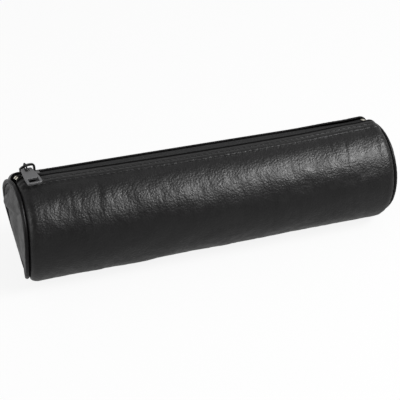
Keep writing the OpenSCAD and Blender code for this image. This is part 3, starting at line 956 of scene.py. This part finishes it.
def pull_loop(material):
    """A round wire carried along a loop of two half circles and two straights. The three
    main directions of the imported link's points give the loop's plane, size and place,
    and the loop hangs down from there until it nearly rests on the bridge."""
    points = vertex_points(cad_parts["pull_link"].data) / MM
    _, _, (along, across, _) = np.linalg.svd(points - points.mean(axis=0), full_matrices=False)
    along = along * (1 if along[2] < 0 else -1)
    axes = np.stack([along, across, np.cross(along, across)])
    low, high = (points @ axes.T).min(axis=0), (points @ axes.T).max(axis=0)
    reach, side, wire = (high - low) / 2
    turn = full_turn(56)[0]
    shift = (reach - side) * np.tanh(6 * np.cos(turn)) / np.tanh(6)
    across, along = (side - wire) * np.sin(turn), (side - wire) * np.cos(turn)
    flat = np.zeros_like(turn)
    hangs = np.array([0.4, 0, 0])
    centre = (low + high) / 2 + hangs + np.stack([along + shift, across, flat], axis=1)
    out = np.stack([along, across, flat], axis=1) / (side - wire)
    ring = full_turn(16)[..., None]
    grid = centre[:, None] + wire * (np.cos(ring) * out[:, None] + np.sin(ring) * [0, 0, 1])
    finish(tube("zip_link", grid @ axes), material, "slider_metal", "pull_link", body="link")


class ZIPCASE_OT_slider(Maker, bpy.types.Operator):
    """The slider with its hooked bridge, the link and the tab"""
    bl_idname = "zip_case.slider"
    bl_label = "Slider and Pull"

    def make(self, s):
        black = shared("black_metal", metal_finish, "slider", 0.34, 0.0)
        grey = shared("grey_metal", metal_finish, "tab", 0.42)
        finish(metal_copy("zip_slider", "slider_body", 0.14), black, "slider_metal",
               "slider_body", body="slider")
        finish(metal_copy("zip_tab", "pull_tab", 0.16), grey, "tab_metal", "pull_tab", body="tab")
        pull_loop(black)


class ZIPCASE_OT_stops(Maker, bpy.types.Operator):
    """The pale metal clips at both ends of the zip"""
    bl_idname = "zip_case.stops"
    bl_label = "Stops"

    def make(self, s):
        pale = shared("pale_metal", metal_finish, "stop", 0.3)
        for node in ("front_top_stop", "rear_top_stop", "bottom_stop"):
            obj = metal_copy(node.replace("_stop", "_clip"), node, 0.09)
            moved = settled(s, vertex_points(obj.data).astype(float) / MM) * MM
            obj.data.vertices.foreach_set("co", moved.astype(np.float32).ravel())
            finish(obj, pale, "stop_metal", node)


class ZIPCASE_OT_coils(Maker, bpy.types.Operator):
    """The nylon finish of the two coils, which stay as packed"""
    bl_idname = "zip_case.coils"
    bl_label = "Coils"

    def make(self, s):
        nylon = shared("nylon_coil", nylon_finish, "coil")
        for node in ("front_zip_coil", "rear_zip_coil"):
            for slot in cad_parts[node].material_slots:
                slot.material = nylon


def seen(n, mirrored):
    """1 for rays from the camera or through glass, the mirrored share for reflections,
    0 for the rest."""
    path = n.add("LightPath")
    glossy = n.calculate("MULTIPLY", path["Is Glossy Ray"], mirrored)
    some = n.calculate("MAXIMUM", path["Is Camera Ray"], glossy)
    return n.calculate("MAXIMUM", some, path["Is Transmission Ray"])


def white_floor():
    """A wide square that glows white to the camera and less in reflections."""
    reach = 3.0
    mesh = bpy.data.meshes.new("floor")
    mesh.from_pydata([(x * reach, y * reach, 0) for x, y in (
        (-1, -1), (1, -1), (1, 1), (-1, 1))], [], [(0, 1, 2, 3)])
    n = new_material("white_floor")
    n.fill(n.shader, {"Base Color": (0.86, 0.86, 0.86, 1), "Roughness": 0.9,
                      "Specular IOR Level": 0.0})
    mirrored = n.ranged(n.parts(n.place())[1], 0.26, 0.93, -0.15, 0.3)
    glow = n.add("Emission", {"Color": (1, 1, 1, 1), "Strength": seen(n, mirrored)})[0]
    lit = n.calculate("MULTIPLY", seen(n, 0), 0.88)
    share = n.calculate("MAXIMUM", lit, n.add("LightPath")["Is Glossy Ray"])
    both = n.add("MixShader", {0: share, 1: n.shader.outputs[0], 2: glow})[0]
    output = next(node for node in n.tree.nodes if node.type == "OUTPUT_MATERIAL")
    n.tree.links.new(both, output.inputs[0])
    mesh.materials.append(n.owner)
    new_object("floor", mesh)


def soft_room(scene):
    """A pale room: white where it is seen, and in reflections dimmer on the side that
    the camera stands on."""
    n = Nodes(bpy.data.worlds.new("soft_room"))
    toward = n.parts(n.place("Generated"))[1]
    mirrored = seen(n, n.ranged(toward, 0.08, 0.6, 0.1, 0.8))
    diffuse = n.ranged(n.add("LightPath")["Is Glossy Ray"], 0.4, 0, 0, 1)
    n.add("OutputWorld", {0: n.add("Background", {
        "Color": (1, 1, 1, 1), "Strength": n.calculate("MAXIMUM", mirrored, diffuse)})[0]})
    scene.world = n.owner


def softbox(name, target, place, size, radiance):
    """A rectangular light that faces the target, as strong as its radiance and area."""
    light = bpy.data.lights.new(name, "AREA")
    light.shape = "RECTANGLE"
    light.size, light.size_y = size
    light.energy = radiance * math.pi * size[0] * size[1]
    obj = new_object(name, light)
    obj.location = target + Vector(place)
    obj.rotation_euler = (target - obj.location).to_track_quat("-Z", "Y").to_euler()


def place_camera(scene, s):
    """Placed by its turn, height, roll and distance round a point of the case."""
    yaw, height, roll = (math.radians(a) for a in (21.09, 31.40, 1.24))
    centre = Vector((-4.87, -3.38, s.axis)) * MM
    distance, focal_per_width = 0.5815, 1011.9 / 400
    back = Vector((-math.sin(yaw) * math.cos(height), -math.cos(yaw) * math.cos(height),
                   math.sin(height)))
    right = Vector((math.cos(yaw), -math.sin(yaw), 0))
    up = back.cross(right)
    right, up = (right * math.cos(roll) + up * math.sin(roll),
                 up * math.cos(roll) - right * math.sin(roll))
    data = bpy.data.cameras.new("camera")
    data.sensor_width = 36
    data.lens = focal_per_width * data.sensor_width
    data.clip_start, data.clip_end = 0.01, 20
    turn = Matrix((right, up, back)).transposed().to_4x4()
    obj = new_object("camera", data)
    obj.matrix_world = Matrix.Translation(centre + back * distance) @ turn
    scene.camera = obj


class ZIPCASE_OT_stage(Maker, bpy.types.Operator):
    """A pale floor, soft light and the camera"""
    bl_idname = "zip_case.stage"
    bl_label = "Stage"

    def make(self, s):
        scene = bpy.context.scene
        scene.view_settings.view_transform = "Standard"
        white_floor()
        soft_room(scene)
        target = Vector((0, 0, 0.03))
        softbox("key", target, (0.74, -0.56, 0.95), (0.74, 0.38), 17.0)
        softbox("left", target, (-0.95, -0.22, 0.35), (0.3, 0.5), 4.0)
        place_camera(scene, s)


MAKERS = tuple(Maker.__subclasses__())
GROUPS = {
    "zip_case_sizes": ZipCaseSizes, "zip_case_softness": ZipCaseSoftness,
    "zip_case_colours": ZipCaseColours}


class ZIPCASE_PT_sidebar(bpy.types.Panel):
    """The case's sizes and makers, in the sidebar"""
    bl_idname = "ZIPCASE_PT_sidebar"
    bl_label = "Leather Zip Case"
    bl_space_type = "VIEW_3D"
    bl_region_type = "UI"
    bl_category = "Zip Case"

    def draw(self, context):
        for group in GROUPS:
            box = self.layout.box()
            values = getattr(context.scene, group)
            for key in values.__annotations__:
                box.prop(values, key, text=key.replace("_", " ").capitalize())
        for maker in MAKERS:
            self.layout.operator(maker.bl_idname)


CLASSES = (*GROUPS.values(), *MAKERS, ZIPCASE_PT_sidebar)


def register():
    for cls in CLASSES:
        bpy.utils.register_class(cls)
    for name, cls in GROUPS.items():
        setattr(bpy.types.Scene, name, PointerProperty(type=cls))


def unregister():
    for name in GROUPS:
        delattr(bpy.types.Scene, name)
    for cls in reversed(CLASSES):
        bpy.utils.unregister_class(cls)


def main():
    register()
    for maker in MAKERS:
        group, name = maker.bl_idname.split(".")
        getattr(getattr(bpy.ops, group), name)()


if __name__ == "__main__":
    main()
